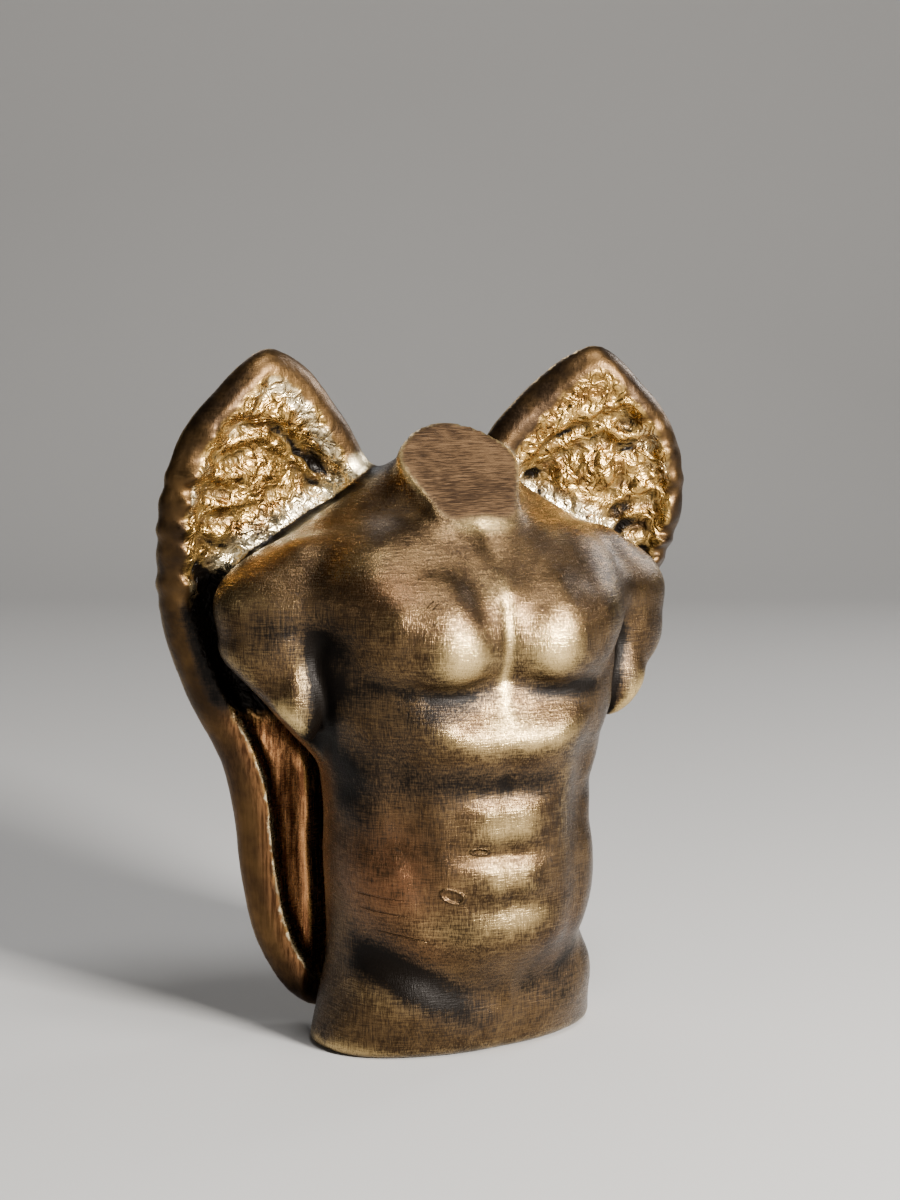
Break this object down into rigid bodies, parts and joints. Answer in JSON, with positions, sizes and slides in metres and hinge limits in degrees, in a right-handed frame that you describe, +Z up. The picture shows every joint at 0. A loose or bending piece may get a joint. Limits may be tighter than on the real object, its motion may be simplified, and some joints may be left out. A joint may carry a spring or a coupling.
{
  "type": "winged torso figurine",
  "caption": "Standing plaster figurine of a winged male torso without head or forearms, on its own flat underside.",
  "frame": {"origin": "the middle of the flat underside, on the surface that the figure stands on", "axes": "+Z up, the figure faces -Y, its own left is +X"},
  "size_m": [0.1508, 0.0736, 0.1796],
  "materials": {
    "antique_gold_plaster": "cast plaster under antique gold bronze paint, black patina in the hollows, rubbed bright on the raised forms"
  },
  "bodies": {
    "root": {"winged_torso": "antique_gold_plaster"}
  },
  "joints": []
}
